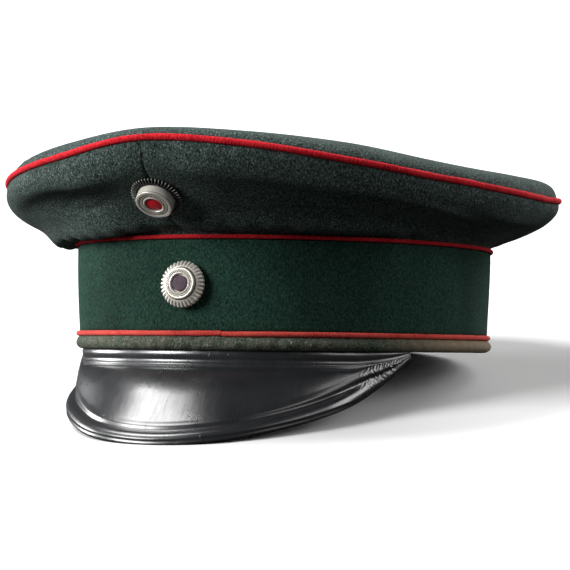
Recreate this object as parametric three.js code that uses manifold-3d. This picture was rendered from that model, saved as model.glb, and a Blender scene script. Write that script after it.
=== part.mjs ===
// Peaked cap: an oval band between two pipings, a rolled hem, an overhanging crown of four side panels
// under a domed top, a lacquered peak and two pinned cockades. Millimetres, +Z up, front towards -Y.
// The cap is drawn upright with its hem level, then laid back as it rests on the peak's rim and the hem's rear.

import * as THREE from 'three';
import { mergeVertices } from 'three/addons/utils/BufferGeometryUtils.js';
import Module from 'manifold-3d';

const wasm = await Module();
wasm.setup();

// Clearance between pieces that touch on the real cap
const gap = 0.3;

// Band and its two pipings
const bandHalfLength = 102;
const bandHalfWidth = 85.7;
const bandFootInset = 1.2;
const bandHeight = 37.1;
const bandWall = 2.4;
const bandSwell = 0.3;
const bandPipingRadius = 1.05;
const pipingStand = 0.35;

// Hem below the lower piping
const hemHeight = 6.3;
const hemWall = 2.8;
const hemRoll = 0.6;

// Crown: edge of the top, side cloth and dome
const crownHalfLength = 139.1;
const crownHalfWidth = 113.8;
const crownSetBack = 2.1;
const crownFrontRise = 34.9;
const crownWall = 2;
const crownPipingRadius = 1.5;
const crownSeamLift = 0.45;
const domeEdgeRise = 7;
const domeEdgeSharpness = 24;
const domeCentreRise = 2.9;
const domeRippleFade = 4;

// Peak
const peakForward = 26.2;
const peakDrop = 33.9;
const peakCornerAngle = 62.9;
const peakEndShare = 0.985;
const peakWall = 2;
const peakBow = 1.6;
const peakFadeDrop = 18;
const collarInset = 2.6;
const collarLean = 0.4;
const collarDrop = 5.2;

// Cockades and their pins
const upperRimRadius = 10.1;
const upperCupRadius = 7.2;
const upperCupHeight = 4.6;
const upperCentreRadius = 3.1;
const upperRimHeight = 1.1;
const upperRimEdge = 0.65;
const upperSeatShare = 0.42;
const lowerRimRadius = 9.1;
const lowerCupRadius = 6.2;
const lowerCupHeight = 3.9;
const lowerCentreRadius = 3.1;
const lowerRimHeight = 2.6;
const lowerRimEdge = 1;
const lowerSeatShare = 0.5;
const lowerSeatTurn = 1.3;
const lowerUpwardLean = 6;
const rimRibs = 30;
const ribDepth = 0.45;
const pinRadius = 0.8;
const pinHeadRadius = 2.4;
const pinHeadThickness = 0.6;

// How far the soft hem and the peak's leather rim flatten where the cap rests
const restFlattening = 0.4;

// Fineness of the facets
const roundSteps = 60;
const pipingSides = 6;
const peakSteps = 36;
const turnedSides = 20;
const pinSides = 8;

// Rise of the crown's edge above the upper piping, as a share of its rise at the front, and how high the top's cloth
// springs up beside the edge, as a share of the dome's edge rise
const edgeRise = [
  { phi: -180, rise: 0.427, spring: 1.2 },
  { phi: -120, rise: 0.544, spring: 0.8 },
  { phi: -90, rise: 0.66, spring: 0.52 },
  { phi: -60, rise: 0.673, spring: 0.5 },
  { phi: -40, rise: 0.748, spring: 0.65 },
  { phi: -20, rise: 0.848, spring: 0.68 },
  { phi: 0, rise: 1, spring: 0.55 },
  { phi: 20, rise: 0.931, spring: 0.55 },
  { phi: 40, rise: 0.779, spring: 0.62 },
  { phi: 60, rise: 0.648, spring: 0.65 },
  { phi: 90, rise: 0.582, spring: 0.95 },
  { phi: 120, rise: 0.668, spring: 1.25 },
];

// Drape of the side cloth: the two inner control points of its curve, as shares of overhang and rise
const drape = [
  { phi: -180, lowOut: 0.4, lowUp: 0.2, highOut: 1.02, highUp: 0.41 },
  { phi: -120, lowOut: 0.46, lowUp: 0.2, highOut: 1.05, highUp: 0.44 },
  { phi: -60, lowOut: 0.51, lowUp: 0.18, highOut: 1.18, highUp: 0.48 },
  { phi: 0, lowOut: 0.4, lowUp: 0.3, highOut: 1.02, highUp: 0.6 },
  { phi: 60, lowOut: 0.42, lowUp: 0.26, highOut: 1.02, highUp: 0.5 },
  { phi: 120, lowOut: 0.34, lowUp: 0.25, highOut: 1.04, highUp: 0.51 },
];

// Folds in the side cloth: place, spread and depth (share of the front rise, outwards positive)
const folds = [
  { name: 'hollow beside the front seam', phi: -25, along: 0.52, phiSpread: 17, alongSpread: 0.13, depth: -0.095 },
  { name: 'long hollow', phi: 38, along: 0.6, phiSpread: 32, alongSpread: 0.15, depth: -0.065 },
  { name: 'roll over the piping', phi: -66, along: 0.15, phiSpread: 26, alongSpread: 0.12, depth: 0.125 },
  { name: 'roll towards the front', phi: -22, along: 0.15, phiSpread: 20, alongSpread: 0.11, depth: 0.055 },
  { name: 'hollow at the left side seam', phi: 80, along: 0.35, phiSpread: 12, alongSpread: 0.16, depth: -0.05 },
  { name: 'rear left fold', phi: 138, along: 0.45, phiSpread: 18, alongSpread: 0.16, depth: -0.06 },
  { name: 'rear right fold', phi: -140, along: 0.5, phiSpread: 20, alongSpread: 0.16, depth: -0.07 },
];
const foldHold = 12;

// Section of the hem, outside first: shares of its wall (inwards negative) and of its height
const hemSection = [
  { out: -0.3, up: 0 },
  { out: 0.12, up: 0.22 },
  { out: 0.2, up: 0.55 },
  { out: -0.08, up: 1 },
  { out: -1, up: 1 },
  { out: -1, up: 0 },
  { out: -0.65, up: 0 },
];

// The peak's rim from the front (turn 0) to a corner (turn 1): how far it reaches out from the hem's foot, as a share
// of the reach at the front, and how far it drops, as a share of the drop at the front
const peakRim = [
  { turn: 0, reach: 1, drop: 1 },
  { turn: 0.2, reach: 0.92, drop: 0.945 },
  { turn: 0.4, reach: 0.626, drop: 0.817 },
  { turn: 0.6, reach: 0.317, drop: 0.655 },
  { turn: 0.8, reach: -0.069, drop: 0.466 },
  { turn: 0.92, reach: -0.122, drop: 0.26 },
  { turn: 1, reach: -0.076, drop: 0.047 },
];

// Relief of the peak's upper face across its rim and under its collar, in mm at the front
const rimRelief = [
  { fromRim: 0, height: 0 },
  { fromRim: 0.7, height: 0.9 },
  { fromRim: 2.6, height: 1.1 },
  { fromRim: 4.5, height: 0.3 },
  { fromRim: 6.2, height: -0.6 },
  { fromRim: 7.8, height: 0 },
];
const collarRelief = [
  { share: 1, height: 0.35 },
  { share: 0.5, height: 0.55 },
  { share: 0, height: 0 },
];
const collarGroove = { fromKnee: 1.5, height: -0.35 };
const panelStart = 3.5;

// Turned faces of a cockade: reach as a share of the cup's, the well's or the stone's radius, rise of the cup's height
const cupFace = [
  { reach: 1, rise: 0.86 },
  { reach: 0.92, rise: 1 },
  { reach: 0.62, rise: 0.93 },
];
const wellLip = [
  { reach: 1.12, rise: 0.97 },
  { reach: 1, rise: 0.88 },
];
const wellFloor = 0.72;
const stoneFace = [
  { reach: 1, rise: 0.08 },
  { reach: 0.6, rise: 0.17 },
  { reach: 0, rise: 0.2 },
];

const wool = new THREE.MeshStandardMaterial({ color: 0x3a4a47, roughness: 0.95, metalness: 0 });
const hemCloth = new THREE.MeshStandardMaterial({ color: 0x4a4f45, roughness: 0.95, metalness: 0 });
const bandCloth = new THREE.MeshStandardMaterial({ color: 0x12352a, roughness: 0.92, metalness: 0 });
const redPiping = new THREE.MeshStandardMaterial({ color: 0xc2222e, roughness: 0.8, metalness: 0 });
const fadedPiping = new THREE.MeshStandardMaterial({ color: 0xb8433c, roughness: 0.85, metalness: 0 });
const lacquer = new THREE.MeshStandardMaterial({ color: 0x101114, roughness: 0.25, metalness: 0 });
const silver = new THREE.MeshStandardMaterial({ color: 0xc9c6b8, roughness: 0.3, metalness: 1 });
const blackened = new THREE.MeshStandardMaterial({ color: 0x181a1c, roughness: 0.5, metalness: 0.6 });
const redCentre = new THREE.MeshStandardMaterial({ color: 0xc01020, roughness: 0.4, metalness: 0 });
const purpleCentre = new THREE.MeshStandardMaterial({ color: 0x553c50, roughness: 0.7, metalness: 0 });

const radians = THREE.MathUtils.degToRad;
const up = new THREE.Vector3(0, 0, 1);

// A table's column at an angle, on a smooth curve that closes on itself after a full turn
function aroundTable(table, column, phi) {
  const angle = THREE.MathUtils.euclideanModulo(phi + 180, 360) - 180;
  const count = table.length;
  const angleOf = (i) => table[THREE.MathUtils.euclideanModulo(i, count)].phi + 360 * Math.floor(i / count);
  const valueOf = (i) => table[THREE.MathUtils.euclideanModulo(i, count)][column];
  const slopeOf = (i) => (valueOf(i + 1) - valueOf(i - 1)) / (angleOf(i + 1) - angleOf(i - 1));
  let i = 0;
  while (angleOf(i + 1) <= angle) {
    i += 1;
  }
  const span = angleOf(i + 1) - angleOf(i);
  const t = (angle - angleOf(i)) / span;
  const startWeight = 2 * t ** 3 - 3 * t ** 2 + 1;
  const endWeight = 1 - startWeight;
  const startSlope = (t ** 3 - 2 * t ** 2 + t) * span * slopeOf(i);
  const endSlope = (t ** 3 - t ** 2) * span * slopeOf(i + 1);
  return startWeight * valueOf(i) + startSlope + endWeight * valueOf(i + 1) + endSlope;
}

// A column of the peak's rim table at a turn, on a smooth curve that is level at the front
function alongRim(column, turn) {
  const last = peakRim.length - 1;
  const slopeOf = (i) => {
    if (i === 0) {
      return 0;
    }
    const before = peakRim[i - 1];
    const after = peakRim[Math.min(i + 1, last)];
    return (after[column] - before[column]) / (after.turn - before.turn);
  };
  const next = Math.max(1, peakRim.findIndex((row) => row.turn >= turn));
  const span = peakRim[next].turn - peakRim[next - 1].turn;
  const t = (turn - peakRim[next - 1].turn) / span;
  const startWeight = 2 * t ** 3 - 3 * t ** 2 + 1;
  const startSlope = (t ** 3 - 2 * t ** 2 + t) * span * slopeOf(next - 1);
  const endSlope = (t ** 3 - t ** 2) * span * slopeOf(next);
  const endWeight = 1 - startWeight;
  return startWeight * peakRim[next - 1][column] + startSlope + endWeight * peakRim[next][column] + endSlope;
}

// A point and its outward direction on an oval; phi runs from the front towards +X
function ovalPoint(halfLength, halfWidth, phi, height = 0, setBack = 0) {
  const angle = radians(phi);
  return new THREE.Vector3(halfWidth * Math.sin(angle), setBack - halfLength * Math.cos(angle), height);
}

function ovalOutward(halfLength, halfWidth, phi) {
  const angle = radians(phi);
  return new THREE.Vector3(Math.sin(angle) / halfWidth, -Math.cos(angle) / halfLength, 0).normalize();
}

function triangle(list, a, b, c) {
  if (a.distanceTo(b) > 1e-4 && b.distanceTo(c) > 1e-4 && c.distanceTo(a) > 1e-4) {
    list.push(a, b, c);
  }
}

function quad(list, a, b, c, d) {
  triangle(list, a, b, c);
  triangle(list, a, c, d);
}

function geometryOf(list) {
  const geometry = new THREE.BufferGeometry().setFromPoints(list);
  return mergeVertices(geometry, 1e-4);
}

// A closed ring through sections that are closed outlines, each going up on its outside
function ring(sections) {
  const list = [];
  sections.forEach((section, i) => {
    const next = sections[(i + 1) % sections.length];
    section.forEach((point, j) => {
      const k = (j + 1) % section.length;
      quad(list, point, next[j], next[k], section[k]);
    });
  });
  return geometryOf(list);
}

// A sheet with thickness between an outer and an inner grid of points; rows run round the cap
function sheet(outer, inner, closed) {
  const list = [];
  const rows = outer.length;
  const last = outer[0].length - 1;
  for (let i = 0; i < (closed ? rows : rows - 1); i += 1) {
    const n = (i + 1) % rows;
    for (let j = 0; j < last; j += 1) {
      quad(list, outer[i][j], outer[n][j], outer[n][j + 1], outer[i][j + 1]);
      quad(list, inner[i][j], inner[i][j + 1], inner[n][j + 1], inner[n][j]);
    }
    quad(list, inner[i][0], inner[n][0], outer[n][0], outer[i][0]);
    quad(list, outer[i][last], outer[n][last], inner[n][last], inner[i][last]);
  }
  if (!closed) {
    for (let j = 0; j < last; j += 1) {
      quad(list, outer[0][j], outer[0][j + 1], inner[0][j + 1], inner[0][j]);
      quad(list, inner[rows - 1][j], inner[rows - 1][j + 1], outer[rows - 1][j + 1], outer[rows - 1][j]);
    }
  }
  return geometryOf(list);
}

// A body turned about +Z from a profile of [radius, height] that starts and ends on the axis
function turned(profile, sides) {
  const points = profile.map(([radius, height]) => new THREE.Vector2(radius, height));
  const geometry = new THREE.LatheGeometry(points, sides).rotateX(Math.PI / 2).toNonIndexed();
  const position = geometry.getAttribute('position');
  const list = [];
  for (let i = 0; i < position.count; i += 3) {
    const corners = [0, 1, 2].map((k) => new THREE.Vector3().fromBufferAttribute(position, i + k));
    triangle(list, ...corners);
  }
  return geometryOf(list);
}

function toSolid(geometry) {
  const vertProperties = new Float32Array(geometry.getAttribute('position').array);
  const triVerts = new Uint32Array(geometry.getIndex().array);
  return new wasm.Manifold(new wasm.Mesh({ numProp: 3, vertProperties, triVerts }));
}

function cut(geometry, cutter) {
  const mesh = toSolid(geometry).subtract(toSolid(cutter)).getMesh();
  const result = new THREE.BufferGeometry();
  result.setAttribute('position', new THREE.BufferAttribute(new Float32Array(mesh.vertProperties), 3));
  result.setIndex(new THREE.BufferAttribute(new Uint32Array(mesh.triVerts), 1));
  return result;
}

const stepAngles = Array.from({ length: roundSteps }, (_, i) => (360 * i) / roundSteps - 180);
const upperPipingHeight = hemHeight + bandHeight;
const footHalfLength = bandHalfLength - bandFootInset;
const footHalfWidth = bandHalfWidth - bandFootInset;

// Pipings
function piping(radius, centreAt, outwardAt) {
  return ring(stepAngles.map((phi) => {
    const centre = centreAt(phi);
    const outward = outwardAt(phi);
    return Array.from({ length: pipingSides }, (_, k) => {
      const turn = (2 * Math.PI * (k + 0.5)) / pipingSides - Math.PI / 2;
      const reach = outward.clone().multiplyScalar(radius * Math.cos(turn));
      return centre.clone().add(reach).addScaledVector(up, radius * Math.sin(turn));
    });
  }));
}

function crownEdge(phi) {
  const rise = crownFrontRise * aroundTable(edgeRise, 'rise', phi);
  return ovalPoint(crownHalfLength, crownHalfWidth, phi, upperPipingHeight + rise, crownSetBack);
}

const crownPiping = piping(
  crownPipingRadius,
  crownEdge,
  (phi) => ovalOutward(crownHalfLength, crownHalfWidth, phi),
);
const bandTopPiping = piping(
  bandPipingRadius,
  (phi) => ovalPoint(bandHalfLength, bandHalfWidth, phi, upperPipingHeight),
  (phi) => ovalOutward(bandHalfLength, bandHalfWidth, phi),
);
const bandBottomPiping = piping(
  bandPipingRadius,
  (phi) => ovalPoint(footHalfLength, footHalfWidth, phi, hemHeight),
  (phi) => ovalOutward(footHalfLength, footHalfWidth, phi),
);

// Band: its face lies a little inside the pipings' centre lines
const bandFoot = hemHeight + bandPipingRadius + gap;
const bandHead = upperPipingHeight - bandPipingRadius - gap;

function bandFace(phi, share) {
  const inset = bandFootInset * (1 - share) + pipingStand - bandSwell * 4 * share * (1 - share);
  const height = bandFoot + (bandHead - bandFoot) * share;
  return ovalPoint(bandHalfLength - inset, bandHalfWidth - inset, phi, height);
}

function bandLining(phi, share) {
  const inward = ovalOutward(bandHalfLength, bandHalfWidth, phi).multiplyScalar(-bandWall);
  return bandFace(phi, 0).lerp(bandFace(phi, 1), share).add(inward);
}

function bandSection(phi) {
  return [...[0, 0.5, 1].map((share) => bandFace(phi, share)), bandLining(phi, 1), bandLining(phi, 0)];
}

// Hem
const hemTop = hemHeight - bandPipingRadius - gap;

function hemSectionAt(phi) {
  const outward = ovalOutward(footHalfLength, footHalfWidth, phi);
  return hemSection.map((row) => {
    const out = hemWall * row.out + hemRoll * 4 * row.up * (1 - row.up) * (row.out > 0 ? 1 : 0);
    return ovalPoint(footHalfLength, footHalfWidth, phi, hemTop * row.up).addScaledVector(outward, out);
  });
}

// Crown side: a draped curve from the upper piping out to the crown's edge, with folds
function sidePoint(phi, along) {
  const seamHeight = upperPipingHeight + bandPipingRadius + gap + crownSeamLift;
  const low = ovalPoint(bandHalfLength, bandHalfWidth, phi, seamHeight);
  const high = crownEdge(phi).addScaledVector(up, -crownPipingRadius - gap);
  const across = high.clone().sub(low).setZ(0);
  const overhang = across.length();
  const outward = across.normalize();
  const rise = high.z - low.z;
  const weights = [3 * (1 - along) ** 2 * along, 3 * (1 - along) * along ** 2, along ** 3];
  const slopes = [3 * (1 - along) * (1 - 3 * along), 3 * along * (2 - 3 * along), 3 * along ** 2];
  const outs = [aroundTable(drape, 'lowOut', phi), aroundTable(drape, 'highOut', phi), 1];
  const ups = [aroundTable(drape, 'lowUp', phi), aroundTable(drape, 'highUp', phi), 1];
  const blend = (factors, values) => factors.reduce((sum, factor, i) => sum + factor * values[i], 0);
  const outRate = overhang * blend(slopes, outs);
  const upRate = rise * blend(slopes, ups);
  const rate = Math.hypot(outRate, upRate);
  const push = foldDepth(phi, along);
  return low
    .addScaledVector(outward, overhang * blend(weights, outs) + (push * upRate) / rate)
    .addScaledVector(up, rise * blend(weights, ups) - (push * outRate) / rate);
}

function foldDepth(phi, along) {
  const hold = (1 - (1 - along) ** foldHold) * (1 - along ** foldHold);
  return folds.reduce((sum, fold) => {
    const turn = THREE.MathUtils.euclideanModulo(phi - fold.phi + 180, 360) - 180;
    const spread = (turn / fold.phiSpread) ** 2 + ((along - fold.along) / fold.alongSpread) ** 2;
    return sum + hold * crownFrontRise * fold.depth * Math.exp(-spread);
  }, 0);
}

function sideOutward(phi, along) {
  const step = 0.01;
  const before = Math.max(along - step, 0);
  const after = Math.min(along + step, 1);
  const climb = sidePoint(phi, after).sub(sidePoint(phi, before));
  const round = sidePoint(phi + 1, along).sub(sidePoint(phi - 1, along));
  return round.cross(climb).normalize();
}

function sideLining(phi, along) {
  return sidePoint(phi, along).addScaledVector(sideOutward(phi, along), -crownWall);
}

const sideStations = [0, 0.07, 0.16, 0.28, 0.41, 0.54, 0.67, 0.79, 0.9, 1];

function crownPanel(from, to) {
  const seamTurn = (phi) => {
    const angle = radians(phi);
    const stretch = Math.hypot(bandHalfWidth * Math.cos(angle), bandHalfLength * Math.sin(angle));
    return THREE.MathUtils.radToDeg(gap / 2 / stretch);
  };
  const count = Math.round(((to - from) / 360) * roundSteps);
  const angles = Array.from({ length: count + 1 }, (_, i) => from + ((to - from) * i) / count);
  angles[0] += seamTurn(from);
  angles[count] -= seamTurn(to);
  const outer = angles.map((phi) => sideStations.map((along) => sidePoint(phi, along)));
  const inner = angles.map((phi) => sideStations.map((along) => sideLining(phi, along)));
  return sheet(outer, inner, false);
}

// Crown top: it springs up beside its piping and domes gently towards the middle
const edgeMean = edgeRise.reduce((sum, row) => sum + row.rise, 0) / edgeRise.length;
const springMean = edgeRise.reduce((sum, row) => sum + row.spring, 0) / edgeRise.length;
const edgePitch = (aroundTable(edgeRise, 'rise', 0) - aroundTable(edgeRise, 'rise', 180)) / 2;

function topPoint(phi, share, depth) {
  const spring = Math.sqrt(1 - share ** domeEdgeSharpness);
  const inset = crownPipingRadius + gap + depth * share;
  const plane = (reach) => edgeMean + edgePitch * Math.cos(radians(phi)) * reach;
  const fade = share ** domeRippleFade;
  const ripple = (aroundTable(edgeRise, 'rise', phi) - plane(1)) * fade;
  const springHere = springMean + (aroundTable(edgeRise, 'spring', phi) - springMean) * fade;
  const dome = domeEdgeRise * springHere * spring + domeCentreRise * (1 - share ** 2) - depth * spring;
  const height = upperPipingHeight + crownFrontRise * (plane(share) + ripple) + dome;
  const point = ovalPoint(crownHalfLength - inset, crownHalfWidth - inset, phi, 0);
  return point.multiplyScalar(share).add(new THREE.Vector3(0, crownSetBack, height));
}

const topStations = [1, 0.992, 0.975, 0.945, 0.88, 0.72, 0.45, 0];
const crownTop = sheet(
  stepAngles.map((phi) => topStations.map((share) => topPoint(phi, share, 0))),
  stepAngles.map((phi) => topStations.map((share) => topPoint(phi, share, crownWall))),
  true,
);

// Peak: a collar under the hem, a bowed panel and a beaded rim
const peakHalfLength = footHalfLength + hemRoll;
const peakHalfWidth = footHalfWidth + hemRoll;

// A section straight out from the hem; turn runs from -1 at one corner to 1 at the other
function peakSection(turn) {
  const phi = peakCornerAngle * turn;
  const base = ovalPoint(peakHalfLength, peakHalfWidth, phi);
  const outward = ovalOutward(peakHalfLength, peakHalfWidth, phi);
  const drop = peakDrop * alongRim('drop', Math.abs(turn));
  const fade = Math.min(1, drop / peakFadeDrop);
  const start = new THREE.Vector2(-collarInset, -gap);
  const knee = new THREE.Vector2(collarLean * fade - collarInset, -gap - collarDrop * fade);
  const rim = new THREE.Vector2(peakForward * alongRim('reach', Math.abs(turn)), -gap - drop);
  const run = rim.clone().sub(knee);
  const length = run.length();
  const raised = new THREE.Vector2(-run.y, run.x).divideScalar(length);
  const onPanel = (t) => {
    const bow = peakBow * fade * 4 * t * (1 - t);
    return knee.clone().addScaledVector(run, t).addScaledVector(raised, bow);
  };
  const panelEnd = rimRelief.at(-1).fromRim;
  const middle = { at: onPanel(0.5 + ((panelStart - panelEnd) * fade) / (2 * length)), height: 0 };
  const path = [
    ...rimRelief.map((row) => ({ at: onPanel(1 - (row.fromRim * fade) / length), height: row.height })),
    middle,
    { at: onPanel((panelStart * fade) / length), height: 0 },
    { at: onPanel((collarGroove.fromKnee * fade) / length), height: collarGroove.height },
    ...collarRelief.map((row) => ({ at: start.clone().lerp(knee, row.share), height: row.height })),
  ];
  const place = (point) => base.clone().addScaledVector(outward, point.x).addScaledVector(up, point.y);
  return path.map((station, i) => {
    const before = path[Math.max(i - 1, 0)].at;
    const after = path[Math.min(i + 1, path.length - 1)].at;
    const towardsRim = before.clone().sub(after).normalize();
    const normal = new THREE.Vector2(-towardsRim.y, towardsRim.x);
    return {
      outer: place(station.at.clone().addScaledVector(normal, station.height * fade)),
      inner: place(station.at.clone().addScaledVector(normal, -peakWall)),
    };
  });
}

function peakSheet() {
  const turns = Array.from({ length: peakSteps + 1 }, (_, i) => peakEndShare * ((2 * i) / peakSteps - 1));
  const sections = turns.map(peakSection);
  return sheet(
    sections.map((sides) => sides.map((side) => side.outer)),
    sections.map((sides) => sides.map((side) => side.inner)),
    false,
  );
}

// Resting attitude: laid back until the peak's rim and the hem's rear touch the same level
function lowest(geometry, tilt) {
  const position = geometry.getAttribute('position');
  let low = Infinity;
  for (let i = 0; i < position.count; i += 1) {
    low = Math.min(low, position.getZ(i) * Math.cos(tilt) - position.getY(i) * Math.sin(tilt));
  }
  return low;
}

function restingTilt(hemBody, peakBody) {
  let level = 0;
  let steep = radians(45);
  for (let step = 0; step < 50; step += 1) {
    const tilt = (level + steep) / 2;
    if (lowest(peakBody, tilt) < lowest(hemBody, tilt)) {
      level = tilt;
    } else {
      steep = tilt;
    }
  }
  return steep;
}

function flattened(geometry, tilt, lift) {
  const position = geometry.getAttribute('position');
  const raise = new THREE.Vector3(0, -Math.sin(tilt), Math.cos(tilt));
  const point = new THREE.Vector3();
  for (let i = 0; i < position.count; i += 1) {
    point.fromBufferAttribute(position, i);
    const height = point.dot(raise) + lift;
    if (height < 0) {
      point.addScaledVector(raise, -height);
      position.setXYZ(i, point.x, point.y, point.z);
    }
  }
  return geometry;
}

// Cockades: each sits on the cloth with its axis outwards, held by a pin through a hole
const seatReach = 10;
const seatAngles = Array.from({ length: 2 * seatReach + 1 }, (_, i) => i - seatReach);
const seatShares = Array.from({ length: roundSteps + 1 }, (_, i) => i / roundSteps);

// Heights along an axis of the cloth that lies within a radius of it
function clothHeights(surface, centre, axis, radius) {
  const points = seatAngles.flatMap((phi) => seatShares.map((share) => surface(phi, share).sub(centre)));
  const beside = points.filter((point) => point.clone().addScaledVector(axis, -point.dot(axis)).length() <= radius);
  return beside.map((point) => point.dot(axis));
}

function seat(face, lining, phi, share, axis, rimRadius) {
  const centre = face(phi, share);
  const stand = Math.max(...clothHeights(face, centre, axis, rimRadius)) + gap;
  const depth = gap - Math.min(...clothHeights(lining, centre, axis, pinHeadRadius));
  return {
    turn: new THREE.Quaternion().setFromUnitVectors(up, axis),
    origin: centre.clone().addScaledVector(axis, stand),
    pinLength: stand + depth,
  };
}

function ribbedRim(rimRadius, cupRadius, edgeHeight, rimHeight) {
  const inner = cupRadius + gap;
  const sections = Array.from({ length: rimRibs * 2 }, (_, i) => {
    const angle = (Math.PI * i) / rimRibs;
    const direction = new THREE.Vector3(Math.cos(angle), Math.sin(angle), 0);
    const rib = i % 2 === 0 ? 0 : ribDepth;
    const at = (radius, height) => direction.clone().multiplyScalar(radius).setZ(height);
    return [
      at(rimRadius - rib, 0),
      at(rimRadius - rib, edgeHeight),
      at(inner, rimHeight),
      at(inner, 0),
    ];
  });
  return ring(sections);
}

function cup(radius, height, centreRadius) {
  const well = centreRadius + gap;
  return turned([
    [0, 0],
    [radius, 0],
    ...cupFace.map((row) => [radius * row.reach, height * row.rise]),
    ...wellLip.map((row) => [well * row.reach, height * row.rise]),
    [well, height * wellFloor],
    [0, height * wellFloor],
  ], turnedSides);
}

function centreStone(radius, cupHeight) {
  const floor = cupHeight * wellFloor + gap;
  return turned([
    [0, floor],
    [radius, floor],
    ...stoneFace.map((row) => [radius * row.reach, floor + cupHeight * row.rise]),
  ], turnedSides);
}

function pin(place) {
  const headTop = -place.pinLength;
  return turned([
    [0, headTop - pinHeadThickness],
    [pinHeadRadius, headTop - pinHeadThickness],
    [pinHeadRadius, headTop],
    [pinRadius, headTop],
    [pinRadius, -gap],
    [0, -gap],
  ], pinSides);
}

function pinHole(place) {
  const length = 2 * (place.pinLength + pinHeadRadius);
  const geometry = new THREE.CylinderGeometry(pinRadius + gap, pinRadius + gap, length, pinSides);
  geometry.rotateX(Math.PI / 2);
  geometry.applyQuaternion(place.turn);
  geometry.translate(place.origin.x, place.origin.y, place.origin.z);
  geometry.deleteAttribute('normal');
  geometry.deleteAttribute('uv');
  return mergeVertices(geometry, 1e-4);
}

const upperPlace = seat(
  sidePoint,
  sideLining,
  0,
  upperSeatShare,
  sideOutward(0, upperSeatShare),
  upperRimRadius,
);
const lowerOutward = ovalOutward(bandHalfLength, bandHalfWidth, lowerSeatTurn);
const lowerLean = radians(lowerUpwardLean);
const lowerPlace = seat(
  bandFace,
  bandLining,
  lowerSeatTurn,
  lowerSeatShare,
  lowerOutward.multiplyScalar(Math.cos(lowerLean)).addScaledVector(up, Math.sin(lowerLean)),
  lowerRimRadius,
);
const upperHole = pinHole(upperPlace);
const lowerHole = pinHole(lowerPlace);

const cap = new THREE.Group();

function addPiece(parent, name, geometry, material) {
  geometry.computeVertexNormals();
  const mesh = new THREE.Mesh(geometry, material);
  mesh.name = name;
  parent.add(mesh);
}

function addCockade(label, place, pieces) {
  const cockade = new THREE.Group();
  cockade.position.copy(place.origin);
  cockade.quaternion.copy(place.turn);
  pieces.forEach(([part, geometry, material]) => addPiece(cockade, `${label}_${part}`, geometry, material));
  cap.add(cockade);
}

const hemBody = ring(stepAngles.map(hemSectionAt));
const peakBody = peakSheet();
const tilt = restingTilt(hemBody, peakBody);
const lift = -lowest(hemBody, tilt) - restFlattening;

addPiece(cap, 'crown_top', crownTop, wool);
addPiece(cap, 'crown_panel_front_left', cut(crownPanel(0, 90), upperHole), wool);
addPiece(cap, 'crown_panel_rear_left', crownPanel(90, 180), wool);
addPiece(cap, 'crown_panel_rear_right', crownPanel(-180, -90), wool);
addPiece(cap, 'crown_panel_front_right', cut(crownPanel(-90, 0), upperHole), wool);
addPiece(cap, 'crown_piping', crownPiping, redPiping);
addPiece(cap, 'band', cut(ring(stepAngles.map(bandSection)), lowerHole), bandCloth);
addPiece(cap, 'band_top_piping', bandTopPiping, redPiping);
addPiece(cap, 'band_bottom_piping', bandBottomPiping, fadedPiping);
addPiece(cap, 'hem', flattened(hemBody, tilt, lift), hemCloth);
addPiece(cap, 'peak', flattened(peakBody, tilt, lift), lacquer);
addCockade('upper_cockade', upperPlace, [
  ['rim', ribbedRim(upperRimRadius, upperCupRadius, upperRimEdge, upperRimHeight), blackened],
  ['cup', cup(upperCupRadius, upperCupHeight, upperCentreRadius), silver],
  ['centre', centreStone(upperCentreRadius, upperCupHeight), redCentre],
  ['pin', pin(upperPlace), silver],
]);
addCockade('lower_cockade', lowerPlace, [
  ['rim', ribbedRim(lowerRimRadius, lowerCupRadius, lowerRimEdge, lowerRimHeight), silver],
  ['cup', cup(lowerCupRadius, lowerCupHeight, lowerCentreRadius), silver],
  ['centre', centreStone(lowerCentreRadius, lowerCupHeight), purpleCentre],
  ['pin', pin(lowerPlace), silver],
]);

// The origin lies under the middle of the resting cap
cap.rotation.x = -tilt;
cap.position.z = lift;
const box = new THREE.Box3().setFromObject(cap, true);
cap.position.x = -(box.min.x + box.max.x) / 2;
cap.position.y = -(box.min.y + box.max.y) / 2;

const group = new THREE.Group();
group.add(cap);

export default group;
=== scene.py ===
# Looks of the peaked cap: each piece is built again as a fine mesh from the cap's own measures, in millimetres
# and in the cap's upright frame, and is then laid back onto the floor as the frame's solids are.
import math

import bmesh
import bpy
import numpy as np
from mathutils import Matrix, Vector


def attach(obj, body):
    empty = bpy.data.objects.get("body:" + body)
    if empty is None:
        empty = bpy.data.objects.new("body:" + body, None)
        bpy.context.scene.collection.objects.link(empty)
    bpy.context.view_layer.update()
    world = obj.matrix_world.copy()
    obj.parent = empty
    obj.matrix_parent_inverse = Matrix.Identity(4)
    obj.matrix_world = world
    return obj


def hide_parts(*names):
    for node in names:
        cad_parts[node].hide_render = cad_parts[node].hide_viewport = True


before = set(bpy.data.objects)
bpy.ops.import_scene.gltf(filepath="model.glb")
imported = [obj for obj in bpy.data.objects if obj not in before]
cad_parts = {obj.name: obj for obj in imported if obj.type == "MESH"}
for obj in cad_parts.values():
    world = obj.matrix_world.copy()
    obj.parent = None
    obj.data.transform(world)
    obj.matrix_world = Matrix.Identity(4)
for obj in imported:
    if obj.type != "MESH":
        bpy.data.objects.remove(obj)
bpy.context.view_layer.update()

MM = 0.001
WELD = 2e-7

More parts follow.
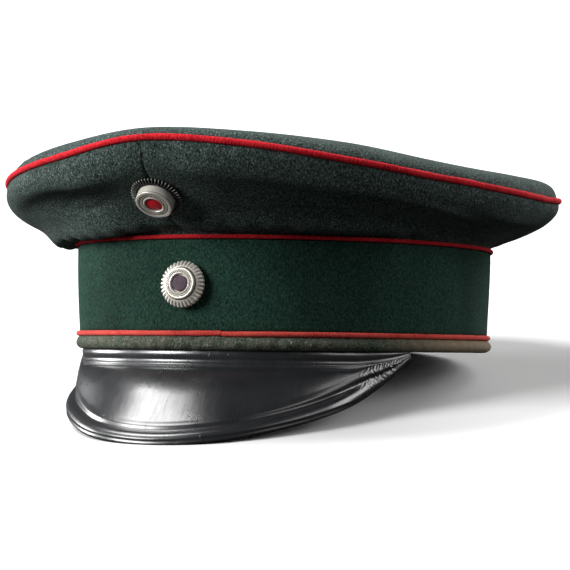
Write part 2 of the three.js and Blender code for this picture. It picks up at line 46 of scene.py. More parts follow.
# Measures of the cap, in millimetres
GAP = 0.3
BAND = (102.0, 85.7)
BAND_FOOT_INSET = 1.2
BAND_HEIGHT = 37.1
BAND_WALL = 2.4
BAND_SWELL = 0.3
BAND_PIPING = 1.05
BAND_CORD = 0.88
PIPING_STAND = 0.35
HEM_HEIGHT = 6.3
HEM_WALL = 2.8
HEM_ROLL = 0.6
CROWN = (138.4, 113.0)
CROWN_SET_BACK = 2.1
CROWN_RISE = 34.9
CROWN_WALL = 2.0
CROWN_PIPING = 1.5
CROWN_CORD = 1.27
CROWN_CORD_SAG = 0.33
CROWN_SEAM_LIFT = 0.45
DOME_EDGE_RISE = 7.0
DOME_SHARPNESS = 24
DOME_CENTRE_RISE = 2.9
DOME_RIPPLE_FADE = 4
PEAK_FORWARD = 26.2
PEAK_DROP = 33.9
PEAK_CORNER = 62.9
PEAK_WALL = 2.0
PEAK_BOW = 1.2
PEAK_DISH = 0.7
PEAK_FADE_DROP = 18.0
COLLAR_INSET = 2.6
COLLAR_LEAN = 0.4
COLLAR_DROP = 5.2

# Steps of the meshes: round the whole cap or one side panel, and then up the cloth
TOP_STEPS = (360, 35)
PANEL_STEPS = (240, 96)
BAND_STEPS = (540, 30)
HEM_STEPS = 720
PIPING_SIDES = 12

# Unevenness of the cloths, in millimetres, and of a piping, as shares of its radius
SIDE_WAVES = 0.35
LOW_PUCKERS = 0.3
HIGH_PUCKERS = 0.14
TOP_WAVES = 0.35
TOP_PUCKERS = 0.12
TOP_EDGE_TUCK = 0.4
BAND_WAVES = 0.16
BAND_SEAM = 0.4
HEM_WAVES = 0.16
CRINKLES = 0.14
PIPING_RIBS = 0.032
PIPING_WAVER = 0.04

UPPER_PIPING_HEIGHT = HEM_HEIGHT + BAND_HEIGHT
FOOT = (BAND[0] - BAND_FOOT_INSET, BAND[1] - BAND_FOOT_INSET)
UP = np.array([0.0, 0.0, 1.0])

# Round the cap: rise of the crown's edge as a share of the rise at the front, and how high the top's cloth springs
# up beside it
EDGE_ANGLES = (-180, -120, -90, -60, -40, -20, 0, 20, 40, 60, 90, 120)
EDGE_RISES = (0.427, 0.544, 0.66, 0.673, 0.748, 0.848, 1, 0.931, 0.779, 0.648, 0.582, 0.668)
SPRINGS = (1.3, 1.0, 0.84, 0.84, 0.98, 0.96, 0.75, 0.78, 0.83, 0.84, 1.14, 1.35)

# Drape of the side cloth
DRAPE_ANGLES = (-180, -120, -60, 0, 60, 120)
DRAPE = {
    "low_out": (0.4, 0.46, 0.51, 0.4, 0.42, 0.34),
    "low_up": (0.2, 0.2, 0.18, 0.3, 0.26, 0.25),
    "high_out": (1.02, 1.05, 1.18, 1.02, 1.02, 1.04),
    "high_up": (0.41, 0.44, 0.48, 0.6, 0.5, 0.51),
}

# Folds of the side cloth: phi, along, spread of each, and depth as a share of the crown's rise
FOLDS = (
    (-25, 0.52, 17, 0.13, -0.095),
    (38, 0.6, 32, 0.15, -0.065),
    (-66, 0.15, 26, 0.12, 0.125),
    (-22, 0.15, 20, 0.11, 0.055),
    (80, 0.35, 12, 0.16, -0.05),
    (138, 0.45, 18, 0.16, -0.06),
    (-140, 0.5, 20, 0.16, -0.07),
)
FOLD_HOLD = 12

# Crease over the long hollow: how far up the side cloth it runs, and how deep the cloth falls away below it
CREASE_ANGLES = (14, 26, 38, 50, 57, 67, 80, 92)
CREASE_ALONG = (0.66, 0.655, 0.65, 0.635, 0.58, 0.47, 0.34, 0.3)
CREASE_DEPTH = (0, 1.4, 3.4, 4.2, 4.0, 3.2, 1.6, 0)
CREASE_SHARPNESS = 0.012
CREASE_REACH = 0.2

# Looser rolls and hollows of the side cloth: phi, along, spread of each, and depth in millimetres
LOOSE_FOLDS = (
    (-26, 0.11, 22, 0.1, 2.5),
    (-76, 0.13, 16, 0.1, 0.6),
    (-20, 0.4, 10, 0.09, -3.4),
    (-16, 0.66, 9, 0.12, 1.6),
    (34, 0.13, 34, 0.09, 2.4),
    (32, 0.67, 26, 0.15, 2.0),
    (78, 0.6, 15, 0.13, 1.8),
)

# Seams of the side cloth: phi, and how far each is drawn in; then depth and width of the stitches and of the hollow
# beside them, in millimetres
SIDE_SEAMS = {-180: 1.0, -90: 0.2, 0: 1.0, 90: 0.2, 180: 1.0}
SEAM_STITCHES = (0.6, 0.5)
SEAM_HOLLOW = (0.3, 3.2)

# The peak's rim from the front (turn 0) to a corner (turn 1), as shares of its reach and drop at the front
RIM_TURNS = (0, 0.2, 0.4, 0.6, 0.8, 0.92, 1)
RIM_REACHES = (1, 0.92, 0.626, 0.317, -0.069, -0.122, -0.076)
RIM_DROPS = (1, 0.945, 0.817, 0.655, 0.466, 0.26, 0.047)


# Place of the cap on the floor, read from the upper band piping's ring
def resting_place():
    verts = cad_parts["band_top_piping"].data.vertices
    ring = np.unique(np.round([tuple(v.co) for v in verts], 6), axis=0)
    centre = ring.mean(0)
    normal = np.linalg.svd(ring - centre, full_matrices=False)[2][2]
    tilt = math.atan2(normal[1] / normal[2], 1)
    turn = np.array([
        [1, 0, 0],
        [0, math.cos(tilt), math.sin(tilt)],
        [0, -math.sin(tilt), math.cos(tilt)],
    ])
    return turn, centre - turn @ np.array([0, 0, UPPER_PIPING_HEIGHT * MM])


TURN, SHIFT = resting_place()


def to_row(points):
    return np.asarray(points, float) * MM @ TURN.T + SHIFT


# Curves round the cap
def round_steps(steps):
    return np.linspace(-180, 180, steps + 1)[:-1]


def stretch_round(phi):
    """How many millimetres of the band a radian takes up."""
    angle = np.radians(phi)
    return np.hypot(BAND[1] * np.cos(angle), BAND[0] * np.sin(angle))


def hermite(at, value, slope, place):
    i = np.clip(np.searchsorted(at, place, side="right") - 1, 0, len(at) - 2)
    span = at[i + 1] - at[i]
    t = (place - at[i]) / span
    start = 2 * t**3 - 3 * t**2 + 1
    bend = (t**3 - 2 * t**2 + t) * span * slope[i] + (t**3 - t**2) * span * slope[i + 1]
    return start * value[i] + (1 - start) * value[i + 1] + bend


def around(angles, values, phi):
    """A smooth curve through a short table that closes on itself after a full turn."""
    angles, values = np.asarray(angles, float), np.asarray(values, float)
    at = np.concatenate([angles[-2:] - 360, angles, angles[:3] + 360])
    value = np.concatenate([values[-2:], values, values[:3]])
    slope = np.zeros(len(at))
    slope[1:-1] = (value[2:] - value[:-2]) / (at[2:] - at[:-2])
    return hermite(at, value, slope, (np.asarray(phi, float) + 180) % 360 - 180)


def through(places, values, at):
    """A smooth open curve through a short table."""
    places, values = np.asarray(places, float), np.asarray(values, float)
    return hermite(places, values, np.gradient(values, places), np.clip(at, places[0], places[-1]))


def along_rim(values, turn):
    """A column of the peak's rim table, on a curve that is level at the front."""
    at, value = np.asarray(RIM_TURNS, float), np.asarray(values, float)
    slope = np.zeros(len(at))
    slope[1:-1] = (value[2:] - value[:-2]) / (at[2:] - at[:-2])
    slope[-1] = (value[-1] - value[-2]) / (at[-1] - at[-2])
    return float(hermite(at, value, slope, turn))


def unevenness(phi, along, seed, rounds, climbs, count=14):
    """Soft irregular waves round the cap and up its cloth, about -1 to 1; each cloth has a seed of its own."""
    draw = np.random.default_rng(seed)
    total = np.zeros(np.broadcast(phi, along).shape)
    for _ in range(count):
        turns = draw.integers(rounds[0], rounds[1] + 1)
        climb = draw.uniform(*climbs) * draw.choice([-1, 1])
        start = draw.uniform(0, 2 * math.pi)
        total = total + np.cos(np.radians(phi) * turns + 2 * math.pi * climb * along + start)
    return total / math.sqrt(count)


def bell(value, middle, spread):
    return np.exp(-(((value - middle) / spread) ** 2))


def oval(half, phi, height=0.0, set_back=0.0):
    angle = np.radians(phi)
    x = half[1] * np.sin(angle)
    return np.stack([x, set_back - half[0] * np.cos(angle), x * 0 + height], -1)


def oval_outward(half, phi):
    angle = np.radians(phi)
    way = np.stack([np.sin(angle) / half[1], -np.cos(angle) / half[0], angle * 0], -1)
    return way / np.linalg.norm(way, axis=-1, keepdims=True)


def normals_of(grid):
    """Unit normals of a grid of points whose rows run round the cap and whose columns climb."""
    way = np.cross(np.gradient(grid, axis=0), np.gradient(grid, axis=1))
    return way / np.maximum(np.linalg.norm(way, axis=-1, keepdims=True), 1e-9)


# Meshes
def grid_faces(rows, columns, closed_rows):
    count = rows if closed_rows else rows - 1
    i, j = np.meshgrid(np.arange(count), np.arange(columns), indexing="ij")
    n, k = (i + 1) % rows, (j + 1) % columns
    corners = [i * columns + j, n * columns + j, n * columns + k, i * columns + k]
    return np.stack([c.ravel() for c in corners], -1)


def end_faces(rows, columns):
    faces = []
    for first in (0, (rows - 1) * columns):
        for j in range(columns // 2 - 1):
            faces.append([first + j, first + j + 1, first + columns - 2 - j, first + columns - 1 - j])
    return np.array(faces)


def piece(name, sections, closed, paint, place=to_row, sharp=50, floor=False, worn=None):
    """A mesh through closed sections with the same number of points, capped at both ends unless it closes."""
    rows, columns = sections.shape[:2]
    faces = grid_faces(rows, columns, closed)
    if not closed:
        faces = np.concatenate([faces, end_faces(rows, columns)])
    points = place(sections.reshape(-1, 3))
    if floor:
        points[:, 2] = np.maximum(points[:, 2], 0)
    mesh = bpy.data.meshes.new(name)
    mesh.from_pydata(points.tolist(), [], faces.tolist())
    if worn is not None:
        marks = np.ascontiguousarray(np.broadcast_to(worn, (rows, columns)), np.float32)
        mesh.attributes.new("worn", "FLOAT", "POINT").data.foreach_set("value", marks.ravel())
    work = bmesh.new()
    work.from_mesh(mesh)
    bmesh.ops.remove_doubles(work, verts=work.verts, dist=WELD)
    bmesh.ops.recalc_face_normals(work, faces=work.faces)
    work.to_mesh(mesh)
    work.free()
    mesh.shade_smooth()
    mesh.set_sharp_from_angle(angle=math.radians(sharp))
    mesh.materials.append(paint)
    made = bpy.data.objects.new(name, mesh)
    bpy.context.scene.collection.objects.link(made)
    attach(made, "root")
    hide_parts(name)
    return made


def both_sides(outer, inner):
    return np.concatenate([outer, inner[:, ::-1]], axis=1)


# Node helpers
def node(tree, kind, inputs=None, **settings):
    made = tree.nodes.new(kind)
    for key, value in settings.items():
        setattr(made, key, value)
    for key, value in (inputs or {}).items():
        if isinstance(value, bpy.types.NodeSocket):
            tree.links.new(value, made.inputs[key])
        else:
            made.inputs[key].default_value = value
    return made


def shared(name, ins, outs):
    tree = bpy.data.node_groups.new(name, "ShaderNodeTree")
    kinds = {"value": "NodeSocketFloat", "colour": "NodeSocketColor"}
    for label, kind, default in ins:
        socket = tree.interface.new_socket(label, in_out="INPUT", socket_type=kinds[kind])
        socket.default_value = default
    for label, kind in outs:
        tree.interface.new_socket(label, in_out="OUTPUT", socket_type=kinds[kind])
    return tree, tree.nodes.new("NodeGroupInput"), tree.nodes.new("NodeGroupOutput")


def in_millimetres(tree, stretch=(1, 1, 1)):
    place = node(tree, "ShaderNodeTexCoord").outputs["Object"]
    scale = tuple(share / MM for share in stretch)
    return node(tree, "ShaderNodeVectorMath", {0: place, 1: scale}, operation="MULTIPLY").outputs[0]


def maths(tree, operation, first, second=0.0):
    return node(tree, "ShaderNodeMath", {0: first, 1: second}, operation=operation).outputs[0]


def noise(tree, place, scale, detail=2.0, roughness=0.5, distortion=0.0):
    values = {"Vector": place, "Scale": scale, "Detail": detail, "Roughness": roughness, "Distortion": distortion}
    return node(tree, "ShaderNodeTexNoise", values).outputs["Fac"]


def between(tree, value, low, high, to_low=0.0, to_high=1.0):
    settings = {"Value": value, "From Min": low, "From Max": high, "To Min": to_low, "To Max": to_high}
    return node(tree, "ShaderNodeMapRange", settings, clamp=True).outputs["Result"]


def blended(tree, share, first, second):
    mix = node(tree, "ShaderNodeMix", {"Factor": share}, data_type="RGBA")
    for key, value in ((6, first), (7, second)):
        if isinstance(value, bpy.types.NodeSocket):
            tree.links.new(value, mix.inputs[key])
        else:
            mix.inputs[key].default_value = value
    return mix.outputs[2]


def toned(tree, colour, shade):
    return node(tree, "ShaderNodeVectorMath", {0: colour, "Scale": shade}, operation="SCALE").outputs[0]


# Heathered wool: dark and light fibres felted over a ground colour, with the nap brushed a little downwards
def wool_heather():
    tree, given, out = shared(
        "wool_heather",
        [
            ("Ground", "colour", (0.1, 0.12, 0.12, 1)),
            ("Dark fibre", "colour", (0.02, 0.03, 0.03, 1)),
            ("Light fibre", "colour", (0.4, 0.45, 0.45, 1)),
            ("Grain", "value", 1.0),
            ("Light share", "value", 0.5),
        ],
        [("Color", "colour"), ("Height", "value")],
    )
    place = in_millimetres(tree, (1, 1, 0.62))
    ins = given.outputs
    curls = noise(tree, place, maths(tree, "MULTIPLY", ins["Grain"], 1.05), 3, 0.65, 0.5)
    specks = noise(tree, place, maths(tree, "MULTIPLY", ins["Grain"], 1.45), 1, 0.5, 0.3)
    clouds = noise(tree, place, 0.05, 3, 0.55)
    colour = blended(tree, between(tree, curls, 0.36, 0.58), ins["Dark fibre"], ins["Ground"])
    light = maths(tree, "MULTIPLY", between(tree, specks, 0.5, 0.68), between(tree, curls, 0.38, 0.6))
    colour = blended(tree, maths(tree, "MULTIPLY", light, ins["Light share"]), colour, ins["Light fibre"])
    tree.links.new(toned(tree, colour, between(tree, clouds, 0.3, 0.7, 0.82, 1.18)), out.inputs["Color"])
    height = maths(tree, "ADD", maths(tree, "MULTIPLY", curls, 0.6), maths(tree, "MULTIPLY", specks, 0.4))
    tree.links.new(height, out.inputs["Height"])
    return tree


# Patches where something has worn, faded or settled
def worn_patches():
    tree, given, out = shared(
        "worn_patches",
        [("Size", "value", 0.05), ("Amount", "value", 0.5), ("Edge", "value", 0.12)],
        [("Mask", "value")],
    )
    patch = noise(tree, in_millimetres(tree), given.outputs["Size"], 5, 0.6, 0.3)
    level = maths(tree, "SUBTRACT", 1.0, given.outputs["Amount"])
    low = maths(tree, "SUBTRACT", level, given.outputs["Edge"])
    high = maths(tree, "ADD", level, given.outputs["Edge"])
    tree.links.new(between(tree, patch, low, high), out.inputs["Mask"])
    return tree


WOOL_HEATHER = wool_heather()
WORN_PATCHES = worn_patches()


def use(tree, group, **values):
    made = tree.nodes.new("ShaderNodeGroup")
    made.node_tree = group
    for key, value in values.items():
        made.inputs[key.replace("_", " ")].default_value = value
    return made


def patches(tree, size, amount, edge):
    return use(tree, WORN_PATCHES, Size=size, Amount=amount, Edge=edge).outputs["Mask"]


def finish_named(name, **sockets):
    paint = bpy.data.materials.new(name)
    paint.use_nodes = True
    tree = paint.node_tree
    surface = tree.nodes["Principled BSDF"]
    for key, value in sockets.items():
        surface.inputs[key.replace("_", " ")].default_value = value
    return paint, tree, surface


def relief(tree, surface, height, distance, strength=1.0):
    bump = node(tree, "ShaderNodeBump", {"Height": height, "Distance": distance * MM, "Strength": strength})
    tree.links.new(bump.outputs["Normal"], surface.inputs["Normal"])


def rgb(red, green, blue):
    """A colour given as it looks on screen, 0 to 255, as Blender's linear values."""
    shares = [c / 255 for c in (red, green, blue)]
    return (*[c / 12.92 if c <= 0.04045 else ((c + 0.055) / 1.055) ** 2.4 for c in shares], 1)


def cloth_finish(name, ground, dark, light, grain, light_share, fuzz, sheen, tint=None):
    """Fulled wool: its ground, dark and light fibres, how fine and light they are, and its fuzz in millimetres."""
    paint, tree, surface = finish_named(
        name, Roughness=0.95, Specular_IOR_Level=0.12, Sheen_Weight=sheen, Sheen_Roughness=0.5, Sheen_Tint=light
    )
    cloth = use(
        tree, WOOL_HEATHER, Ground=ground, Dark_fibre=dark, Light_fibre=light, Grain=grain, Light_share=light_share
    )
    colour = cloth.outputs["Color"]
    if tint:
        colour = tint(tree, colour)
    tree.links.new(colour, surface.inputs["Base Color"])
    relief(tree, surface, cloth.outputs["Height"], fuzz)
    return paint


def band_tint(tree, colour):
    shade = noise(tree, in_millimetres(tree), 0.022, 2, 0.4)
    dusty = blended(tree, maths(tree, "MULTIPLY", patches(tree, 0.5, 0.36, 0.1), 0.12), colour, rgb(86, 92, 74))
    return toned(tree, dusty, between(tree, shade, 0.36, 0.62, 0.72, 1.2))


def hem_tint(tree, colour):
    """The nap at the front is worn brownish; towards the sides it stays greener."""
    across = node(tree, "ShaderNodeSeparateXYZ", {0: in_millimetres(tree)}).outputs[0]
    front = between(tree, maths(tree, "ABSOLUTE", across), 78, 50)
    worn = maths(tree, "MULTIPLY", front, patches(tree, 0.16, 0.62, 0.22))
    light = maths(tree, "MULTIPLY", front, patches(tree, 1.1, 0.4, 0.05))
    colour = blended(tree, maths(tree, "MULTIPLY", worn, 0.6), colour, rgb(98, 95, 85))
    colour = blended(tree, maths(tree, "MULTIPLY", light, 0.5), colour, rgb(182, 178, 162))
    return blended(tree, between(tree, across, 66, 82, 0, 0.6), colour, rgb(168, 146, 122))


def faded_tint(amount, faded):
    return lambda tree, colour: blended(tree, patches(tree, 0.08, amount, 0.15), colour, faded)


# Finishes
CROWN_WOOL = cloth_finish(
    "crown_wool", rgb(62, 78, 74), rgb(19, 28, 26), rgb(156, 170, 165), 1.5, 0.6, 0.3, 0.08
)
BAND_CLOTH = cloth_finish(
    "band_cloth", rgb(33, 64, 53), rgb(13, 34, 28), rgb(98, 122, 108), 1.5, 0.26, 0.22, 0.05, band_tint
)
HEM_WOOL = cloth_finish(
    "hem_wool", rgb(66, 88, 74), rgb(28, 38, 30), rgb(150, 156, 136), 1.1, 0.45, 0.5, 0.08, hem_tint
)
RED_PIPING = cloth_finish(
    "red_piping", rgb(224, 36, 48), rgb(160, 14, 28), rgb(246, 96, 98), 1.3, 0.3, 0.3, 0.15,
    faded_tint(0.4, rgb(232, 46, 54)),
)
DEEP_RED_PIPING = cloth_finish(
    "deep_red_piping", rgb(214, 40, 50), rgb(150, 18, 30), rgb(236, 96, 94), 1.3, 0.3, 0.3, 0.12,
    faded_tint(0.4, rgb(200, 34, 46)),
)
FADED_PIPING = cloth_finish(
    "faded_piping", rgb(222, 76, 70), rgb(172, 44, 44), rgb(240, 146, 130), 1.3, 0.3, 0.3, 0.15,
    faded_tint(0.5, rgb(226, 90, 80)),
)


def peak_lacquer():
    paint, tree, surface = finish_named("peak_lacquer", Specular_IOR_Level=0.9, Coat_Roughness=0.22, Coat_IOR=1.5)
    place = in_millimetres(tree)
    haze = patches(tree, 0.05, 0.5, 0.22)
    scuffs = patches(tree, 0.35, 0.34, 0.04)
    streaks = noise(tree, in_millimetres(tree, (1.5, 0.12, 0.12)), 1.0, 2, 0.6)
    colour = blended(tree, haze, rgb(30, 32, 35), rgb(42, 43, 46))
    colour = blended(tree, maths(tree, "MULTIPLY", scuffs, 0.25), colour, rgb(66, 66, 66))
    tree.links.new(colour, surface.inputs["Base Color"])
    rough = maths(tree, "ADD", between(tree, haze, 0, 1, 0.24, 0.32), between(tree, streaks, 0.35, 0.7, 0, 0.1))
    tree.links.new(rough, surface.inputs["Roughness"])
    tree.links.new(between(tree, haze, 0, 1, 1.0, 0.7), surface.inputs["Coat Weight"])
    drift = node(tree, "ShaderNodeTexNoise", {"Vector": place, "Scale": 0.3}).outputs["Color"]
    drifted = node(tree, "ShaderNodeVectorMath", {0: place, 1: drift}, operation="ADD").outputs[0]
    cells = node(tree, "ShaderNodeTexVoronoi", {"Vector": drifted, "Scale": 0.45}, feature="DISTANCE_TO_EDGE")
    crack = between(tree, cells.outputs["Distance"], 0.0, 0.05, 1, 0)
    crack = maths(tree, "MULTIPLY", crack, between(tree, noise(tree, place, 0.16, 3), 0.66, 0.7))
    pits = node(tree, "ShaderNodeTexVoronoi", {"Vector": place, "Scale": 0.16}).outputs["Distance"]
    pit = between(tree, pits, 0.03, 0.09, 1, 0)
    height = maths(tree, "MULTIPLY", noise(tree, place, 0.8, 2), 0.07)
    height = maths(tree, "ADD", height, maths(tree, "MULTIPLY", noise(tree, place, 0.12, 2), 0.4))
    height = maths(tree, "ADD", height, maths(tree, "MULTIPLY", streaks, 0.05))
    height = maths(tree, "SUBTRACT", height, maths(tree, "MULTIPLY", crack, 0.4))
    height = maths(tree, "SUBTRACT", height, maths(tree, "MULTIPLY", pit, 0.3))
    relief(tree, surface, height, 0.35)
    return paint


def grime(tree):
    """How much a place in a cockade's relief is worn or holds dirt, from the mesh."""
    return node(tree, "ShaderNodeAttribute", attribute_name="worn").outputs["Fac"]


def silver_finish():
    paint, tree, surface = finish_named("cockade_silver", Metallic=0.4)
    tarnish = patches(tree, 0.6, 0.42, 0.2)
    colour = blended(tree, tarnish, rgb(252, 248, 240), rgb(226, 218, 198))
    dirty = maths(tree, "MULTIPLY", grime(tree), between(tree, patches(tree, 0.9, 0.5, 0.2), 0, 1, 0.75, 1))
    tree.links.new(blended(tree, dirty, colour, rgb(58, 50, 36)), surface.inputs["Base Color"])
    rough = maths(tree, "ADD", between(tree, tarnish, 0, 1, 0.26, 0.42), maths(tree, "MULTIPLY", dirty, 0.3))
    tree.links.new(rough, surface.inputs["Roughness"])
    relief(tree, surface, noise(tree, in_millimetres(tree), 2.2, 3), 0.05)
    return paint


def blackened_finish():
    paint, tree, surface = finish_named("cockade_black", Specular_IOR_Level=0.35)
    bare = maths(tree, "MULTIPLY", grime(tree), between(tree, patches(tree, 0.45, 0.5, 0.2), 0, 1, 0.5, 1.0))
    tree.links.new(blended(tree, bare, rgb(16, 17, 18), rgb(176, 174, 166)), surface.inputs["Base Color"])
    tree.links.new(between(tree, bare, 0, 1, 0.0, 0.7), surface.inputs["Metallic"])
    tree.links.new(between(tree, bare, 0, 1, 0.55, 0.4), surface.inputs["Roughness"])
    relief(tree, surface, noise(tree, in_millimetres(tree), 3.0, 2), 0.05)
    return paint


def enamel_finish(name, colour, dark, rough, coat, bump):
    paint, tree, surface = finish_named(name, Coat_Weight=coat, Coat_Roughness=0.12)
    mottled = patches(tree, 0.7, 0.45, 0.25)
    tree.links.new(blended(tree, mottled, colour, dark), surface.inputs["Base Color"])
    tree.links.new(between(tree, mottled, 0, 1, rough, rough + 0.12), surface.inputs["Roughness"])
    relief(tree, surface, noise(tree, in_millimetres(tree), 3.0, 2), bump)
    return paint


PEAK_LACQUER = peak_lacquer()
SILVER = silver_finish()
BLACKENED = blackened_finish()
RED_ENAMEL = enamel_finish("cockade_red", rgb(244, 30, 42), rgb(214, 18, 32), 0.4, 0.1, 0.03)
PURPLE_ENAMEL = enamel_finish("cockade_purple", rgb(88, 64, 80), rgb(62, 44, 56), 0.6, 0.0, 0.15)


# Crown side
def crown_edge(phi):
    rise = CROWN_RISE * around(EDGE_ANGLES, EDGE_RISES, phi)
    return oval(CROWN, phi, UPPER_PIPING_HEIGHT + rise, CROWN_SET_BACK)


def folded(folds, phi, along):
    total = 0
    for fold_phi, fold_along, phi_spread, along_spread, depth in folds:
        turn = (phi - fold_phi + 180) % 360 - 180
        total = total + depth * bell(turn, 0, phi_spread) * bell(along, fold_along, along_spread)
    return total


def fold_depth(phi, along):
    hold = (1 - (1 - along) ** FOLD_HOLD) * (1 - along**FOLD_HOLD)
    return hold * CROWN_RISE * folded(FOLDS, phi, along)


def side_point(phi, along):
    phi, along = np.broadcast_arrays(np.asarray(phi, float), np.asarray(along, float))
    low = oval(BAND, phi, UPPER_PIPING_HEIGHT + BAND_PIPING + GAP + CROWN_SEAM_LIFT)
    high = crown_edge(phi) - (CROWN_PIPING + GAP) * UP
    across = (high - low) * (1, 1, 0)
    overhang = np.linalg.norm(across, axis=-1)
    outward = across / overhang[..., None]
    rise = high[..., 2] - low[..., 2]
    low_out, low_up, high_out, high_up = (
        around(DRAPE_ANGLES, DRAPE[key], phi) for key in ("low_out", "low_up", "high_out", "high_up")
    )
    weights = (3 * (1 - along) ** 2 * along, 3 * (1 - along) * along**2, along**3)
    slopes = (3 * (1 - along) * (1 - 3 * along), 3 * along * (2 - 3 * along), 3 * along**2)
    out = overhang * (weights[0] * low_out + weights[1] * high_out + weights[2])
    climb = rise * (weights[0] * low_up + weights[1] * high_up + weights[2])
    out_rate = overhang * (slopes[0] * low_out + slopes[1] * high_out + slopes[2])
    climb_rate = rise * (slopes[0] * low_up + slopes[1] * high_up + slopes[2])
    rate = np.hypot(out_rate, climb_rate)
    push = fold_depth(phi, along)
    out = out + push * climb_rate / rate
    climb = climb - push * out_rate / rate
    return low + outward * out[..., None] + UP * climb[..., None]


def crease_relief(phi, along):
    """The upper cloth bulges over its crease and turns in sharply below it."""
    below = through(CREASE_ANGLES, CREASE_ALONG, phi) - along
    depth = through(CREASE_ANGLES, CREASE_DEPTH, phi)
    fall = CREASE_SHARPNESS * np.logaddexp(0, below / CREASE_SHARPNESS) / CREASE_REACH
    return depth * (0.3 * bell(below, -0.04, 0.08) - fall * np.exp((1 - fall**2) / 2))


def side_relief(phi, along):
    """Seam dips, puckers at both pipings and the cloth's own unevenness, in millimetres."""
    stretch = stretch_round(phi) * (1 + 0.3 * along)
    wander = 0.5 * np.sin(9.0 * along + 0.6) + 0.25 * np.sin(23.0 * along)
    dip = 0
    for seam, drawn_in in SIDE_SEAMS.items():
        from_seam = np.radians(phi - seam) * stretch - wander
        for depth, spread in (SEAM_STITCHES, SEAM_HOLLOW):
            dip = dip - drawn_in * depth * bell(from_seam, 0, spread)
    hold = np.clip(np.minimum(along, 1 - along) / 0.05, 0, 1)
    waves = SIDE_WAVES * unevenness(phi, along, 3, (3, 16), (0.2, 1.6))
    low_puckers = LOW_PUCKERS * unevenness(phi, along, 5, (26, 60), (0.1, 0.6)) * bell(along, 0.08, 0.09)
    high_puckers = HIGH_PUCKERS * unevenness(phi, along, 7, (40, 90), (0.1, 0.6)) * bell(along, 0.96, 0.06)
    folds = crease_relief(phi, along) + folded(LOOSE_FOLDS, phi, along)
    return dip * np.clip(0.3 + hold, 0, 1) + hold * (waves + low_puckers + high_puckers + folds)


# Seam allowances of a side panel behind the lower and the upper piping: millimetres out and up from its edge
LOW_LIP = ((-1.15, -3.0), (-1.15, -1.5), (-0.6, -0.62))
LOW_LIP_INSIDE = ((-2.3, -3.0), (-2.3, -1.5), (-2.0, 0.3))
HIGH_LIP = ((-0.5, 0.42), (-1.4, 0.9))
HIGH_LIP_INSIDE = ((-2.0, 0.4), (-2.0, 0.9))
SEAM_MARGIN = 0.5


def lip(edge, outward, offsets):
    return np.stack([edge + out * outward + up * UP for out, up in offsets], 1)


def crown_panel(name, start, end):
    """One side panel, with its seam allowances and a margin beside each seam that only shapes its normals."""
    phi = np.linspace(start, end, PANEL_STEPS[0] + 1)
    inset = np.degrees(GAP / 4 / stretch_round(phi[[0, -1]]))
    phi[0] += inset[0]
    phi[-1] -= inset[1]
    along = np.linspace(0, 1, PANEL_STEPS[1] + 1)
    margin = np.concatenate([[phi[0] - SEAM_MARGIN], phi, [phi[-1] + SEAM_MARGIN]])
    phi_grid, along_grid = np.meshgrid(phi, along, indexing="ij")
    base = side_point(phi_grid, along_grid)
    normal = normals_of(side_point(*np.meshgrid(margin, along, indexing="ij")))[1:-1]
    outer = base + normal * side_relief(phi_grid, along_grid)[..., None]
    inner = base - normal * CROWN_WALL
    low, high = (base[:, 0], oval_outward(BAND, phi)), (base[:, -1], oval_outward(CROWN, phi))
    front = np.concatenate([lip(*low, LOW_LIP), outer, lip(*high, HIGH_LIP)], axis=1)
    back = np.concatenate([lip(*low, LOW_LIP_INSIDE), inner, lip(*high, HIGH_LIP_INSIDE)], axis=1)
    return piece(name, both_sides(front, back), False, CROWN_WOOL)


# Crown top
EDGE_MEAN = float(np.mean(EDGE_RISES))
SPRING_MEAN = float(np.mean(SPRINGS))
EDGE_PITCH = float(around(EDGE_ANGLES, EDGE_RISES, 0) - around(EDGE_ANGLES, EDGE_RISES, 180)) / 2


def top_point(phi, share, depth):
    spring = np.sqrt(np.maximum(1 - share**DOME_SHARPNESS, 0))
    inset = CROWN_CORD - GAP + depth * share
    pitch = EDGE_PITCH * np.cos(np.radians(phi))
    fade = share**DOME_RIPPLE_FADE
    ripple = (around(EDGE_ANGLES, EDGE_RISES, phi) - EDGE_MEAN - pitch) * fade
    local = SPRING_MEAN + (around(EDGE_ANGLES, SPRINGS, phi) - SPRING_MEAN) * fade
    dome = DOME_EDGE_RISE * local * spring + DOME_CENTRE_RISE * (1 - share**2) - depth * spring
    height = UPPER_PIPING_HEIGHT + CROWN_RISE * (EDGE_MEAN + pitch * share + ripple) + dome
    angle = np.radians(phi)
    x = (CROWN[1] - inset) * np.sin(angle) * share
    y = -(CROWN[0] - inset) * np.cos(angle) * share + CROWN_SET_BACK
    return np.stack([x, y, height], -1)


